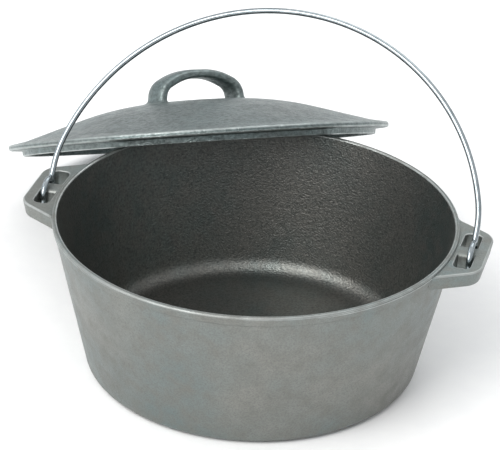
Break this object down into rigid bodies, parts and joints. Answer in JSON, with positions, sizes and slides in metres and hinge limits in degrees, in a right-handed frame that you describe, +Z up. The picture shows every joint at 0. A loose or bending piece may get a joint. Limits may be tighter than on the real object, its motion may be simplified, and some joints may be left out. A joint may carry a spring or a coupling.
{
  "type": "dutch oven",
  "caption": "Round cast iron pot with drafted wall and pierced side lugs, a swinging wire bail and a domed lift-off lid leaning on its rim.",
  "frame": {"origin": "centre of the flat underside of the pot's base, on the surface that the pot stands on", "axes": "+Z up along the pot's axis, X through the two lugs and along the bail's pivot line, +Y towards the side where the lid leans"},
  "size_m": [0.3679, 0.4259, 0.2072],
  "materials": {
    "pot_iron": "bare as-cast iron, fine grain, satin",
    "lid_iron": "bare as-cast iron, mottled grain, satin",
    "bail_steel": "bright plated round wire"
  },
  "bodies": {
    "pot": {"pot_body": "pot_iron", "right_lug": "pot_iron", "left_lug": "pot_iron"},
    "bail": {"bail_wire": "bail_steel"},
    "lid": {"lid_cover": "lid_iron", "lid_handle": "lid_iron"}
  },
  "joints": [
    {"name": "bail_swing", "type": "hinge", "parent": "pot", "child": "bail", "pos_m": [0, 0, 0.096], "axis": [1, 0, 0], "range_deg": [-30, 110]},
    {"name": "lid_lift", "type": "slide", "parent": "pot", "child": "lid", "axis": [-0.3166, 0.6323, 0.7071], "range_m": [0, 0.2]}
  ]
}
